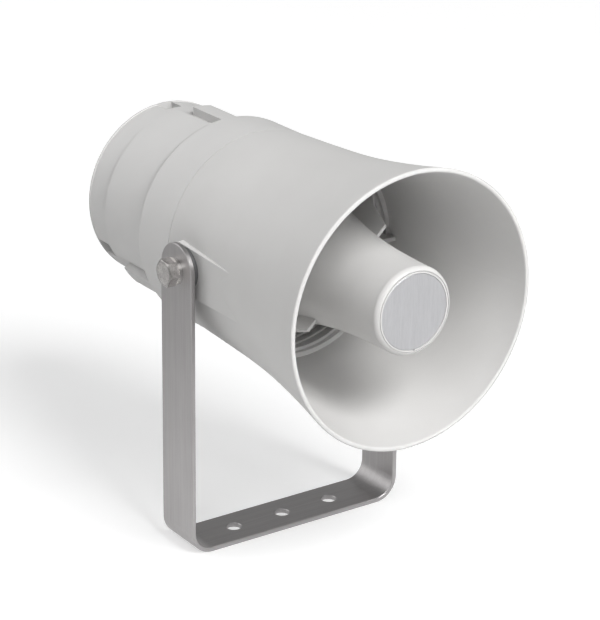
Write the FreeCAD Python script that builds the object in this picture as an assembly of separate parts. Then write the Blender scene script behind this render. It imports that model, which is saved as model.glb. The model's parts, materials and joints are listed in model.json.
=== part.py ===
# Re-entrant horn loudspeaker for marine use, in a stainless steel U bracket.
#
# Frame: millimetres, +Z up, mouth towards -Y. The origin is on the underside of the bracket's base,
# at its middle fixing hole. The horn tilts about a line along X at the two bracket bolts.
# The horn's own pieces are drawn with the tilt axis at the origin, then lifted by axis_height.
# Axial places are y: negative towards the mouth, positive towards the tail.

import FreeCAD, Part
import math
import os

Vector = FreeCAD.Vector
X, Y, Z = Vector(1, 0, 0), Vector(0, 1, 0), Vector(0, 0, 1)

# Bracket: a bent stainless strap
strap_width = 33.0
strap_thickness = 3.0
axis_height = 178.0
bend_inner_radius = 12.0
strap_edge = 0.45
base_hole_count = 3
base_hole_pitch = 35.5
base_hole_radius = 4.5
hole_edge = 0.5

# Pivot bolts, M10 with small heads
bolt_radius = 5.0
bolt_running_gap = 0.07
bolt_length = 25.0
bolt_head_flats = 15.0
bolt_head_height = 6.4
bolt_head_turn = 23.0
spring_washer_radius = 8.3
spring_washer_thickness = 2.2
spring_washer_slit = 1.6
spring_washer_turn = 205.0
spacer_radius = 12.5
spacer_thickness = 5.95
pivot_face_gap = 0.05
insert_radius = 7.0
insert_length = 16.0
insert_wall_gap = 0.05

# Horn bell: places along its axis, and how far its skin rises from one to the next, from the seam on
mouth_y = -128.0
mouth_rise = 7.1
flare_mid_y = -90.0
flare_mid_rise = 5.5
flare_start_y = -50.0
flare_start_rise = 2.4
waist_y = -14.0
waist_rise = 1.75
seam_y = 25.0
seam_radius = 65.75
bell_wall = 2.8
mouth_lip_radius = 1.2
seam_groove = 0.7
seam_width = 0.4
bell_socket_wall = 2.75
bell_collar_y = -18.0
bell_collar_length = 3.0
bell_collar_step = 1.2

# Bracket pads on the bell, and the bosses inside them
pad_sink = 0.5
pad_reach = 60.0
pad_flat_reach = 22.0
pad_top = 13.4
pad_top_slope = 3.0
boss_radius = 10.0
boss_length = 17.5
web_thickness = 2.5
web_reach = 25.0

# Joint clearance between moulded pieces
moulding_gap = 0.25
seal_squeeze_gap = 0.03

# Reflector: outer radius along its axis, vanes and seating ring
nose_y = -128.0
nose_radius = 26.2
nose_round = 4.5
nose_neck_y = -112.0
nose_neck_radius = 26.4
cone_mid_y = -66.0
cone_mid_radius = 29.8
cone_flare_y = -33.0
cone_flare_radius = 36.4
cone_end_y = 0.0
cone_end_radius = 46.0
cone_wall = 2.4
nose_wall = 3.5
badge_radius = 22.4
badge_thickness = 1.0
badge_recess = 1.2
badge_gap = 0.15
nose_lip_width = 0.9
nose_groove_width = 0.5
nose_groove_depth = 0.7
nose_land = 0.2
prise_notch_radius = 1.1
vane_count = 4
vane_start_angle = 45.0
vane_thickness = 2.0
vane_front_y = -64.0
vane_nose_radius = 38.0
vane_knee_y = -44.5
vane_knee_radius = 46.2
vane_step_y = -38.0
vane_step_radius = 52.0
ring_wall = 1.55
ring_ridge_height = 1.2
ring_ridge_width = 2.6
ring_ridge_count = 3
ring_ridge_pitch = 7.3
ring_boss_gap = 1.5

# Rear housing
band_length = 35.7
housing_round = 3.2
housing_wall = 3.0
tail_radius = 57.5
tail_length = 48.5
spigot_length = 10.0
spigot_wall = 3.0
front_wall_setback = 3.0
front_wall_thickness = 4.0
tube_hole_radius = 14.0
cap_turn = -28.0
panel_radius = 59.8
panel_half_angle = 54.8
panel_front_gap = 0.3
panel_edge_round = 0.7
lug_radius = 62.7
lug_angle = 66.0
lug_half_angle = 6.0
lug_length = 37.3
cover_screw_circle = 51.5
cover_screw_angle = 60.0
column_radius = 5.6
column_length = 43.2

# Joint seal between bell and housing
joint_seal_section = 1.6
joint_seal_setback = 6.0

# Throat tube
tube_wall = 2.0
tube_throat_radius = 10.5
tube_mouth_radius = 17.0
tube_mouth_y = -96.0
tube_flange_radius = 22.0
tube_flange_thickness = 3.0
tube_tail_length = 3.0
throat_gasket_thickness = 1.0

# Compression driver
driver_radius = 40.0
driver_flange_radius = 47.0
driver_post_length = 5.0
driver_flange_thickness = 4.0
driver_cap_length = 10.0
driver_screw_circle = 43.5
driver_screw_count = 4
driver_post_radius = 4.2
top_plate_thickness = 5.0
magnet_thickness = 14.0
magnet_inner_radius = 24.0
back_plate_thickness = 5.0
back_plate_radius = 38.0
pole_radius = 18.4
gap_outer_radius = 20.3
coil_inner_radius = 19.0
coil_wall = 0.7
coil_length = 7.5
dome_height = 5.0
dome_thickness = 0.4
surround_radius = 24.2
surround_setback = 1.6
dome_clearance = 0.9
plug_radius = 12.6
plug_slot = 1.6
plug_nose_length = 16.0
plug_spoke_width = 1.6
plug_spoke_reach = 2.0

# Rear cover
cover_step = 0.9
cover_length = 23.8
cover_wall = 3.0
cover_seal_thickness = 1.0
cover_seal_setback = 0.6
cover_rim_height = 0.5
cover_rim_width = 1.4
cover_edge_round = 0.5
notch_width = 11.0
notch_length = 13.3
notch_rear_wall = 1.4
screw_well_gap = 0.6
cover_column_radius = 7.5

# Screws: thread radius, head radius, head height
m4_radius = 2.0
m4_head_radius = 3.5
m4_head_height = 3.2
m3_radius = 1.5
m3_head_radius = 2.8
m3_head_height = 2.2
screw_hole_gap = 0.2
cover_screw_length = 22.0
driver_screw_length = 12.0
strap_screw_length = 6.0

# Cable entries, M20
entry_radius = 10.0
entry_hole_gap = 0.2
entry_spacing = 40.0
entry_drop = 28.0
gland_flats = 24.0
gland_collar_length = 5.0
gland_thread_length = 10.0
gland_neck_length = 9.0
gland_neck_radius = 9.0
gland_cable_radius = 5.0
gland_inner_radius = 7.5
gland_nut_length = 17.0
gland_nut_gap = 0.4
gland_nut_depth = 9.6
gland_nut_radius = 12.0
gland_seal_length = 8.0
locknut_flats = 26.0
locknut_length = 5.0
plug_head_radius = 12.5
plug_head_length = 4.0
plug_slot_width = 2.0
plug_slot_depth = 2.0
plug_thread_length = 9.0
plug_seal_section = 1.5

# Line transformer and terminals
core_width = 42.0
core_height = 35.0
core_depth = 16.0
core_low_z = 5.0
core_setback = 24.0
window_width = 7.0
window_height = 21.0
winding_overhang = 5.0
winding_gap = 0.3
strap_metal = 0.8
strap_foot = 10.0
strap_band = 12.0
strap_post_height = 4.0
strap_post_radius = 3.6
block_width = 34.0
block_height = 11.0
block_depth = 15.0
block_top_z = 1.0
block_way_count = 3
block_way_pitch = 10.0
block_funnel_radius = 2.4
terminal_screw_radius = 2.0
lead_radius = 0.9
lead_magnet_gap = 3.2
lead_grip = 3.0
lead_straight = 18.0
lead_drop_back = 16.0
lead_angle = 16.0

os.makedirs("parts", exist_ok=True)


def save(name, shape, on_horn=True):
    """Write one node; the horn's own pieces are lifted to the tilt axis."""
    placed = shape.copy()
    if on_horn:
        placed.translate(Vector(0, 0, axis_height))
    placed.exportStep("parts/" + name + ".step")


def at(radius, y):
    """A point of an outline: radius from the horn's axis, place along it."""
    return Vector(radius, y, 0)


def outline(start, *steps):
    """A closed outline of lines, arcs and curves; a step is a point, ("arc", via, end) or ("curve", points)."""
    edges = []
    here = start
    for step in steps + (start,):
        if isinstance(step, tuple) and step[0] == "arc":
            edges.append(Part.Arc(here, step[1], step[2]).toShape())
            here = step[2]
        elif isinstance(step, tuple) and step[0] == "curve":
            curve = Part.BSplineCurve()
            curve.interpolate([here] + list(step[1]))
            edges.append(curve.toShape())
            here = step[1][-1]
        elif here.distanceToPoint(step) > 1e-6:
            edges.append(Part.makeLine(here, step))
            here = step
    return Part.Face(Part.Wire(edges))


def turned(*steps):
    """A solid turned about the horn's axis."""
    return outline(*steps).revolve(Vector(0, 0, 0), Y, 360)


def rod(radius, length, start, direction):
    return Part.makeCylinder(radius, length, start, direction)


def tube(outer, inner, y0, y1):
    """A plain ring about the horn's axis."""
    ring = rod(outer, y1 - y0, Vector(0, y0, 0), Y)
    return ring.cut(rod(inner, y1 - y0 + 2, Vector(0, y0 - 1, 0), Y))


def box(x0, x1, y0, y1, z0, z1):
    return Part.makeBox(x1 - x0, y1 - y0, z1 - z0, Vector(x0, y0, z0))


def hexagon(flats, length, start, direction, turn=0.0):
    """A hexagonal prism with chamfered corners, from start along direction."""
    corner = flats / math.sqrt(3)
    points = [Vector(corner * math.cos(math.radians(60 * k + turn)),
                     corner * math.sin(math.radians(60 * k + turn)), 0) for k in range(7)]
    prism = Part.Face(Part.makePolygon(points)).extrude(Vector(0, 0, length))
    crown = (corner - flats / 2) * 0.58
    profile = [Vector(0, 0, 0), Vector(corner + 1, 0, 0), Vector(corner + 1, 0, length - crown - 0.58),
               Vector(flats / 2 - 0.3, 0, length), Vector(0, 0, length), Vector(0, 0, 0)]
    dome = Part.Face(Part.makePolygon(profile)).revolve(Vector(0, 0, 0), Z, 360)
    prism = prism.common(dome)
    prism.Placement = FreeCAD.Placement(start, FreeCAD.Rotation(Z, direction))
    return prism


def spun(shape, angle):
    """A copy turned about the horn's axis, where 0 is +X and 90 is up."""
    turned_copy = shape.copy()
    turned_copy.rotate(Vector(0, 0, 0), Y, -angle)
    return turned_copy


def both_sides(make):
    """The same piece on the -X and the +X side."""
    return [make(-1), make(1)]


def group(shapes):
    return Part.makeCompound(shapes)


def joined(shapes):
    body = shapes[0].fuse(shapes[1:]) if len(shapes) > 1 else shapes[0]
    return body.removeSplitter()


def sector(radius, inner, y0, y1, middle, half_angle):
    """Part of a ring, centred on an angle."""
    edge_low = math.radians(-half_angle)
    edge_high = math.radians(half_angle)
    wire = Part.Wire([
        Part.Arc(Vector(radius * math.cos(edge_low), y0, radius * math.sin(edge_low)), Vector(radius, y0, 0),
                 Vector(radius * math.cos(edge_high), y0, radius * math.sin(edge_high))).toShape(),
        Part.makeLine(Vector(radius * math.cos(edge_high), y0, radius * math.sin(edge_high)),
                      Vector(inner * math.cos(edge_high), y0, inner * math.sin(edge_high))),
        Part.Arc(Vector(inner * math.cos(edge_high), y0, inner * math.sin(edge_high)), Vector(inner, y0, 0),
                 Vector(inner * math.cos(edge_low), y0, inner * math.sin(edge_low))).toShape(),
        Part.makeLine(Vector(inner * math.cos(edge_low), y0, inner * math.sin(edge_low)),
                      Vector(radius * math.cos(edge_low), y0, radius * math.sin(edge_low)))])
    return spun(Part.Face(wire).extrude(Vector(0, y1 - y0, 0)), middle)


# Places that follow from the sizes above
waist_radius = seam_radius + waist_rise
flare_start_radius = waist_radius + flare_start_rise
flare_mid_radius = flare_start_radius + flare_mid_rise
mouth_radius = flare_mid_radius + mouth_rise
bell_socket_radius = seam_radius - bell_socket_wall
bell_collar_radius = bell_socket_radius - bell_collar_step
pad_face_x = waist_radius - pad_sink
boss_inner_x = pad_face_x - boss_length
leg_inner_x = pad_face_x + spacer_thickness + pivot_face_gap
leg_outer_x = leg_inner_x + strap_thickness
bracket_width = 2 * leg_outer_x
half_strap = strap_width / 2
pad_round_radius = half_strap
front_wall_y = seam_y - front_wall_setback
wall_back_y = front_wall_y + front_wall_thickness
joint_seal_y = seam_y - joint_seal_setback
housing_step_y = seam_y + band_length
tail_end_y = housing_step_y + tail_length
lug_end_y = housing_step_y + lug_length
column_start_y = tail_end_y - column_length
ring_inner_radius = bell_socket_radius - moulding_gap - ring_wall
ring_ridge_radius = ring_inner_radius - ring_ridge_height
spigot_radius = bell_socket_radius - moulding_gap
spigot_front_y = seam_y - spigot_length
cover_front_y = tail_end_y + cover_seal_thickness
cover_end_y = cover_front_y + cover_length
cover_floor_y = cover_end_y - cover_wall
core_front_y = cover_floor_y - core_setback
tube_end_y = wall_back_y + tube_tail_length
driver_flange_front_y = wall_back_y + driver_post_length
cover_radius = tail_radius - cover_step
cover_inner_radius = cover_radius - cover_wall
tail_inner_radius = tail_radius - housing_wall
cap_front_y = tube_end_y + throat_gasket_thickness
cap_back_y = cap_front_y + driver_cap_length
surround_y = cap_back_y - surround_setback
plug_nose_y = cap_front_y - plug_nose_length
magnet_front_y = cap_back_y + top_plate_thickness
back_plate_y = magnet_front_y + magnet_thickness
panel_axes = (cap_turn, cap_turn + 180)
cover_screw_angles = [axis + side * cover_screw_angle for axis in panel_axes for side in (-1, 1)]
entry_x = entry_spacing / 2


def make_bracket():
    """A flat strap bent to a U, with round leg ends."""
    top_z = axis_height + half_strap
    outer = box(-leg_outer_x, leg_outer_x, -half_strap, half_strap, 0, top_z)
    outer = fillet_along_y(outer, leg_outer_x, 0, bend_inner_radius + strap_thickness)
    inner = box(-leg_inner_x, leg_inner_x, -strap_width, strap_width, strap_thickness, top_z + 1)
    inner = fillet_along_y(inner, leg_inner_x, strap_thickness, bend_inner_radius)
    strap = outer.cut(inner)
    side_view = box(-leg_outer_x - 1, leg_outer_x + 1, -half_strap, half_strap, -1, axis_height)
    side_view = side_view.fuse(rod(half_strap, bracket_width + 2, Vector(-leg_outer_x - 1, 0, axis_height), X))
    strap = strap.common(side_view).removeSplitter()
    strap = strap.makeChamfer(strap_edge, long_edges(strap))
    for number in range(base_hole_count):
        x = (number - (base_hole_count - 1) / 2) * base_hole_pitch
        strap = strap.cut(rod(base_hole_radius, strap_thickness + 2, Vector(x, 0, -1), Z))
        for z, way in ((0, 1), (strap_thickness, -1)):
            strap = strap.cut(Part.makeCone(base_hole_radius + hole_edge, base_hole_radius, hole_edge,
                                            Vector(x, 0, z), Z * way))
    strap = strap.cut(rod(bolt_radius + bolt_running_gap, bracket_width + 2,
                          Vector(-leg_outer_x - 1, 0, axis_height), X))
    return strap


def fillet_along_y(solid, x, z, radius):
    """Round the two lower edges that run along Y at +-x and height z."""
    edges = [e for e in solid.Edges
             if all(abs(abs(v.X) - x) < 1e-6 and abs(v.Z - z) < 1e-6 for v in e.Vertexes)
             and abs(e.CenterOfMass.y) < 1e-6]
    return solid.makeFillet(radius, edges)


def long_edges(strap):
    """The edges along the strap on both faces, with the round leg ends."""
    found = []
    for edge in strap.Edges:
        middle, room = edge.CenterOfMass, edge.BoundBox
        along_side = abs(abs(middle.y) - half_strap) < 1e-6 and room.YLength < 1e-6
        across_metal = room.ZLength < 1e-6 and abs(middle.z - axis_height) < 1e-6
        round_end = room.XLength < 1e-6 and middle.z > axis_height + 1
        if (along_side and not across_metal) or round_end:
            found.append(edge)
    return found


def make_bolt(side):
    """Hexagon bolt, head outside the leg; drawn along +X, then mirrored for the other side."""
    head_x = leg_outer_x + pivot_face_gap + spring_washer_thickness
    shank = rod(bolt_radius, bolt_length, Vector(side * (head_x - bolt_length), 0, 0), X * side)
    shank = shank.makeChamfer(bolt_radius * 0.2, [e for e in shank.Edges
                                                  if abs(e.CenterOfMass.x - side * (head_x - bolt_length)) < 1e-6
                                                  and len(e.Vertexes) == 1])
    head = hexagon(bolt_head_flats, bolt_head_height, Vector(side * head_x, 0, 0), X * side, bolt_head_turn)
    return joined([shank, head])


def make_spring_washer(side):
    start = side * (leg_outer_x + pivot_face_gap)
    washer = rod(spring_washer_radius, spring_washer_thickness, Vector(start, 0, 0), X * side)
    washer = washer.cut(rod(bolt_radius + screw_hole_gap, 3 * spring_washer_thickness,
                            Vector(start - side, 0, 0), X * side))
    slit = box(-10, 10, -spring_washer_slit / 2, spring_washer_slit / 2, 0, 2 * spring_washer_radius)
    slit.rotate(Vector(0, 0, 0), Z, 22)
    slit.rotate(Vector(0, 0, 0), X, spring_washer_turn)
    slit.translate(Vector(start + side * spring_washer_thickness / 2, 0, 0))
    return washer.cut(slit)


def make_spacer(side):
    """Thick friction washer between the horn's pad and the leg."""
    washer = rod(spacer_radius, spacer_thickness, Vector(side * pad_face_x, 0, 0), X * side)
    return washer.cut(rod(bolt_radius + screw_hole_gap, 3 * spacer_thickness,
                          Vector(side * (pad_face_x - spacer_thickness), 0, 0), X * side))


def make_insert(side):
    """Brass insert, moulded into the boss, flush with the pad."""
    start = Vector(side * (pad_face_x - insert_length), 0, 0)
    body = rod(insert_radius, insert_length, start, X * side)
    return body.cut(rod(bolt_radius + bolt_running_gap, insert_length + 2, start - X * side, X * side))


def bell_outside(offset=0.0):
    """Places of the bell's skin from the seam to the mouth; offset goes inwards."""
    return [at(flare_mid_radius - offset, flare_mid_y), at(flare_start_radius - offset, flare_start_y),
            at(waist_radius - offset, waist_y)]


def make_bell():
    skin = bell_outside()
    lip = mouth_lip_radius
    outer = turned(at(0, mouth_y), at(mouth_radius - lip, mouth_y),
                   ("arc", at(mouth_radius - lip * 0.293, mouth_y + lip * 0.293), at(mouth_radius, mouth_y + lip)),
                   ("curve", skin + [at(seam_radius, seam_y)]), at(0, seam_y))
    pads = []
    for side in (-1, 1):
        x0, x1 = sorted((side * boss_inner_x, side * pad_face_x))
        pad = box(x0, x1, -pad_reach, 0, -half_strap, half_strap)
        pad = pad.fuse(rod(pad_round_radius, x1 - x0, Vector(side * boss_inner_x, 0, 0), X * side))
        above = box(x0 - 1, x1 + 1, -2 * pad_reach, pad_reach, pad_top, pad_top + half_strap)
        above.rotate(Vector(0, 0, pad_top), X, pad_top_slope)
        pads.append(pad.cut(above))
    body = joined([outer] + pads)
    for side in (-1, 1):
        x0, x1 = sorted((side * pad_face_x, side * mouth_radius))
        body = body.cut(box(x0, x1, -pad_flat_reach, 0, -half_strap, half_strap))
        body = body.cut(rod(pad_round_radius, mouth_radius - pad_face_x, Vector(side * pad_face_x, 0, 0), X * side))
    inner_lip = mouth_radius - bell_wall
    round_in = mouth_lip_radius
    hollow = turned(at(0, mouth_y - 1), at(inner_lip + round_in, mouth_y - 1), at(inner_lip + round_in, mouth_y),
                    ("arc", at(inner_lip + round_in * 0.293, mouth_y + round_in * 0.293),
                     at(inner_lip, mouth_y + round_in)),
                    ("curve", bell_outside(bell_wall)[:2] + [at(waist_radius - bell_wall, bell_collar_y)]),
                    at(bell_collar_radius, bell_collar_y),
                    at(bell_collar_radius, bell_collar_y + bell_collar_length),
                    at(bell_socket_radius, bell_collar_y + bell_collar_length),
                    at(bell_socket_radius, seam_y + 1), at(0, seam_y + 1))
    body = body.cut(hollow)
    bosses = []
    for side in (-1, 1):
        boss = rod(boss_radius, bell_socket_radius + 1 - boss_inner_x, Vector(side * boss_inner_x, 0, 0), X * side)
        x0, x1 = sorted((side * (boss_inner_x + 4), side * (bell_socket_radius + 1)))
        web = box(x0, x1, -web_reach, 0, -web_thickness / 2, web_thickness / 2)
        bosses += [boss, web]
    body = joined([body] + bosses)
    for side in (-1, 1):
        depth = insert_length + 1
        body = body.cut(rod(insert_radius + insert_wall_gap, depth,
                            Vector(side * (pad_face_x - insert_length), 0, 0), X * side))
        body = body.cut(rod(bolt_radius + screw_hole_gap, 12,
                            Vector(side * (boss_inner_x - 5), 0, 0), X * side))
    return body


def cone_outside(offset=0.0):
    return [at(nose_neck_radius - offset, nose_neck_y), at(cone_mid_radius - offset, cone_mid_y),
            at(cone_flare_radius - offset, cone_flare_y), at(cone_end_radius - offset, cone_end_y)]


def make_reflector():
    """Cone with a round nose, four vanes and the ring that seats in the bell."""
    seat_radius = badge_radius + badge_gap
    lip_outer = seat_radius + nose_lip_width
    groove_outer = lip_outer + nose_groove_width
    inner_nose_y = nose_y + badge_recess + nose_wall
    round_width = nose_radius - groove_outer - nose_land
    round_start = at(groove_outer + nose_land, nose_y)
    round_end = at(nose_radius, nose_y + nose_round)
    round_mid = at(nose_radius - round_width * 0.293, nose_y + nose_round * 0.293)
    cone = turned(at(0, nose_y + badge_recess), at(seat_radius, nose_y + badge_recess), at(seat_radius, nose_y),
                  at(lip_outer, nose_y), at(lip_outer, nose_y + nose_groove_depth),
                  at(groove_outer, nose_y + nose_groove_depth), at(groove_outer, nose_y),
                  round_start, ("arc", round_mid, round_end),
                  ("curve", cone_outside()), at(cone_end_radius - cone_wall, cone_end_y),
                  ("curve", list(reversed(cone_outside(cone_wall)))[1:]),
                  at(nose_neck_radius - cone_wall - 2, inner_nose_y), at(0, inner_nose_y))
    ring_radius = bell_socket_radius - moulding_gap
    ring_back_y = spigot_front_y - moulding_gap
    ring_front_y = bell_collar_y + bell_collar_length + moulding_gap
    ring = tube(ring_radius, ring_inner_radius, ring_front_y, ring_back_y)
    ridges = []
    for number in range(ring_ridge_count):
        y = ring_front_y + number * ring_ridge_pitch
        ridges.append(tube(ring_inner_radius + 0.5, ring_ridge_radius, y, y + ring_ridge_width))
    ring = joined([ring] + ridges)
    gap = boss_radius + ring_boss_gap
    ring = ring.cut(box(-bell_socket_radius, bell_socket_radius, ring_front_y - 1, ring_back_y + 1, -gap, gap))
    vane_edge = ring_inner_radius + 0.5
    plate = outline(Vector(cone_mid_radius - cone_wall / 2, vane_front_y, 0),
                    Vector(vane_nose_radius, vane_front_y, 0), Vector(vane_knee_radius, vane_knee_y, 0),
                    Vector(vane_step_radius, vane_step_y, 0),
                    Vector(vane_edge, ring_front_y, 0), Vector(vane_edge, cone_end_y, 0),
                    Vector(cone_end_radius - cone_wall / 2, cone_end_y, 0),
                    Vector(cone_flare_radius - cone_wall / 2, cone_flare_y, 0))
    vane = plate.extrude(Vector(0, 0, vane_thickness))
    vane.translate(Vector(0, 0, -vane_thickness / 2))
    vanes = [spun(vane, vane_start_angle + 360 / vane_count * k) for k in range(vane_count)]
    body = joined([cone, ring] + vanes)
    notch = rod(prise_notch_radius, badge_recess + 1, Vector(0, nose_y - 1, -seat_radius), Y)
    return body.cut(notch)


def make_badge():
    front_y = nose_y + badge_recess - badge_thickness
    disc = rod(badge_radius, badge_thickness, Vector(0, front_y, 0), Y)
    return disc.makeChamfer(0.2, [e for e in disc.Edges if len(e.Vertexes) == 1
                                  and abs(e.CenterOfMass.y - front_y) < 1e-6])


def columns(radius, y0, y1, angles, circle):
    """Round columns along the axis, each joined to the wall outside it."""
    made = []
    for angle in angles:
        spot = Vector(circle * math.cos(math.radians(angle)), y0, circle * math.sin(math.radians(angle)))
        made.append(rod(radius, y1 - y0, spot, Y))
    return made


def make_housing():
    """Stepped shell behind the bell; its front wall carries the throat tube and the driver."""
    arc_end = at(seam_radius - housing_round, housing_step_y)
    arc_mid = at(seam_radius - housing_round * 0.293, housing_step_y - housing_round * 0.293)
    bowl_radius = spigot_radius - spigot_wall
    bowl_depth = front_wall_y - spigot_front_y
    shell = turned(at(tube_hole_radius, front_wall_y), at(bowl_radius - bowl_depth, front_wall_y),
                   ("arc", at(bowl_radius - bowl_depth * 0.293, front_wall_y - bowl_depth * 0.293),
                    at(bowl_radius, spigot_front_y)),
                   at(spigot_radius, spigot_front_y), at(spigot_radius, seam_y),
                   at(seam_radius - seam_groove, seam_y), at(seam_radius - seam_groove, seam_y + seam_width),
                   at(seam_radius, seam_y + seam_width),
                   at(seam_radius, housing_step_y - housing_round), ("arc", arc_mid, arc_end),
                   at(tail_radius, housing_step_y), at(tail_radius, tail_end_y),
                   at(tail_inner_radius, tail_end_y), at(tail_inner_radius, housing_step_y - housing_wall),
                   at(seam_radius - housing_wall, housing_step_y - housing_wall - housing_round),
                   at(seam_radius - housing_wall, wall_back_y), at(tube_hole_radius, wall_back_y))
    extras = []
    for axis in panel_axes:
        panel = sector(panel_radius, tail_inner_radius + 1, housing_step_y - 1, tail_end_y, axis, panel_half_angle)
        rim = [e for e in panel.Edges if abs(e.BoundBox.YMin - tail_end_y) < 1e-6 and
               abs(math.hypot(e.CenterOfMass.x, e.CenterOfMass.z)) > 0 and e.BoundBox.YLength < 1e-6 and
               e.Length > panel_radius * math.radians(2 * panel_half_angle) - 1e-3]
        extras.append(panel.makeFillet(panel_edge_round, rim))
        for side in (-1, 1):
            lug = sector(lug_radius, tail_inner_radius + 1, housing_step_y - 1, lug_end_y,
                         axis + side * lug_angle, lug_half_angle)
            extras.append(lug)
    posts = columns(column_radius, column_start_y, tail_end_y, cover_screw_angles, cover_screw_circle)
    inside = rod(tail_inner_radius + 1, tail_end_y, Vector(0, 0, 0), Y)
    posts = [post.common(inside) for post in posts]
    posts += driver_posts(driver_post_radius, wall_back_y - 1, driver_flange_front_y)
    body = joined([shell] + extras + posts)
    pilot = m4_radius + bolt_running_gap
    for hole in columns(pilot, tail_end_y - cover_screw_length, tail_end_y + 1,
                        cover_screw_angles, cover_screw_circle):
        body = body.cut(hole)
    for hole in driver_posts(pilot, wall_back_y - 2, driver_flange_front_y + 1):
        body = body.cut(hole)
    groove_floor = spigot_radius - joint_seal_section - 0.2
    groove = tube(spigot_radius + 1, groove_floor, joint_seal_y - 1.1, joint_seal_y + 1.1)
    return body.cut(groove)


def driver_posts(radius, y0, y1):
    angles = [45 + 360 / driver_screw_count * k for k in range(driver_screw_count)]
    return columns(radius, y0, y1, angles, driver_screw_circle)


def make_joint_seal():
    section = joint_seal_section / 2
    return Part.makeTorus(bell_socket_radius - section - seal_squeeze_gap, section, Vector(0, joint_seal_y, 0), Y)


def make_throat_tube():
    """Inner horn: widens from the driver to its mouth inside the reflector."""
    r0, r1 = tube_throat_radius, tube_mouth_radius
    mid_y = (tube_mouth_y + front_wall_y) / 2
    mid = r0 + (r1 - r0) * 0.38
    outer_throat = tube_hole_radius - moulding_gap
    flange_y = front_wall_y - tube_flange_thickness
    return turned(at(r1, tube_mouth_y), at(r1 + tube_wall, tube_mouth_y),
                  ("curve", [at(mid + tube_wall, mid_y), at(outer_throat, flange_y)]),
                  at(tube_flange_radius, flange_y), at(tube_flange_radius, front_wall_y),
                  at(outer_throat, front_wall_y), at(outer_throat, tube_end_y), at(r0, tube_end_y),
                  at(r0, front_wall_y), ("curve", [at(mid, mid_y), at(r1, tube_mouth_y)]))


def make_throat_gasket():
    return tube(tube_hole_radius - moulding_gap, tube_throat_radius, tube_end_y, cap_front_y)


def dome_sphere():
    """Radius and centre of the diaphragm's dome, from its rim and height."""
    rim = coil_inner_radius + coil_wall
    radius = (rim * rim + dome_height * dome_height) / (2 * dome_height)
    return radius, surround_y - dome_height + radius


def plug_spokes():
    """The plug's three spokes, whose ends lie in slots in the cap."""
    half = plug_spoke_width / 2
    spoke = box(0, tube_throat_radius + plug_spoke_reach, cap_front_y, cap_front_y + plug_spoke_width, -half, half)
    return [spun(spoke, 30 + 120 * number) for number in range(3)]


def make_driver_cap():
    """Cast front of the driver: throat, dome recess and fixing flange."""
    flange_back = driver_flange_front_y + driver_flange_thickness
    radius, centre_y = dome_sphere()
    slot_radius = plug_radius + plug_slot
    body = turned(at(0, cap_front_y), at(tube_flange_radius, cap_front_y),
                  at(tube_flange_radius, driver_flange_front_y),
                  at(driver_flange_radius, driver_flange_front_y), at(driver_flange_radius, flange_back),
                  at(driver_radius, flange_back), at(driver_radius, cap_back_y), at(0, cap_back_y))
    recess = Part.makeSphere(radius + dome_clearance, Vector(0, centre_y, 0))
    room = rod(coil_inner_radius + coil_wall + dome_clearance, cap_back_y - cap_front_y, Vector(0, cap_front_y, 0), Y)
    body = body.cut(recess.common(room))
    body = body.cut(rod(surround_radius + dome_clearance, cap_back_y, Vector(0, surround_y - dome_clearance, 0), Y))
    throat = Part.makeCone(tube_throat_radius, slot_radius, surround_y - cap_front_y, Vector(0, cap_front_y, 0), Y)
    body = body.cut(throat)
    for slot in plug_spokes():
        body = body.cut(slot)
    for hole in driver_posts(m4_radius + screw_hole_gap, driver_flange_front_y - 1, flange_back + 1):
        body = body.cut(hole)
    return body


def make_phase_plug():
    """Bullet in the throat with a hollow back that follows the dome, held by three spokes."""
    radius, centre_y = dome_sphere()
    plug = turned(at(0, plug_nose_y), at(1.5, plug_nose_y + 1.5), at(tube_throat_radius - plug_slot - 1, cap_front_y),
                  at(plug_radius - 1.2, surround_y), at(0, surround_y))
    body = joined([plug] + plug_spokes())
    return body.cut(Part.makeSphere(radius + dome_clearance, Vector(0, centre_y, 0)))


def make_diaphragm():
    radius, centre_y = dome_sphere()
    shell = Part.makeSphere(radius, Vector(0, centre_y, 0)).cut(
        Part.makeSphere(radius - dome_thickness, Vector(0, centre_y, 0)))
    rim = coil_inner_radius + coil_wall
    cap = shell.common(rod(rim, dome_height + 2, Vector(0, surround_y - dome_height - 1, 0), Y)
                       .cut(rod(rim + 1, dome_height, Vector(0, surround_y, 0), Y)))
    surround = tube(surround_radius, coil_inner_radius, surround_y - dome_thickness, surround_y)
    return joined([cap, surround])


def make_voice_coil():
    return tube(coil_inner_radius + coil_wall, coil_inner_radius, surround_y, surround_y + coil_length)


def make_top_plate():
    return tube(driver_radius, gap_outer_radius, cap_back_y, magnet_front_y)


def make_magnet():
    return tube(driver_radius, magnet_inner_radius, magnet_front_y, back_plate_y)


def make_back_plate():
    """Back plate and pole piece, one turning."""
    end = back_plate_y + back_plate_thickness
    return turned(at(0, cap_back_y), at(pole_radius, cap_back_y), at(pole_radius, back_plate_y),
                  at(back_plate_radius, back_plate_y), at(back_plate_radius, end - 1), at(back_plate_radius - 1, end),
                  at(0, end))


def screw(thread_radius, length, head_radius, head_height, seat, direction):
    """Pan head screw: the head lies on seat, the thread goes on along direction."""
    thread = rod(thread_radius, length, seat, direction)
    head = rod(head_radius, head_height, seat - direction * head_height, direction)
    top = [e for e in head.Edges if len(e.Vertexes) == 1
           and (e.CenterOfMass - (seat - direction * head_height)).Length < 1e-6]
    head = head.makeChamfer(head_height * 0.25, top)
    socket = rod(head_radius * 0.45, head_height * 0.6, seat - direction * (head_height + 0.01), direction)
    return joined([thread, head]).cut(socket)


def ring_spots(circle, angles, y):
    return [Vector(circle * math.cos(math.radians(a)), y, circle * math.sin(math.radians(a))) for a in angles]


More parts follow.
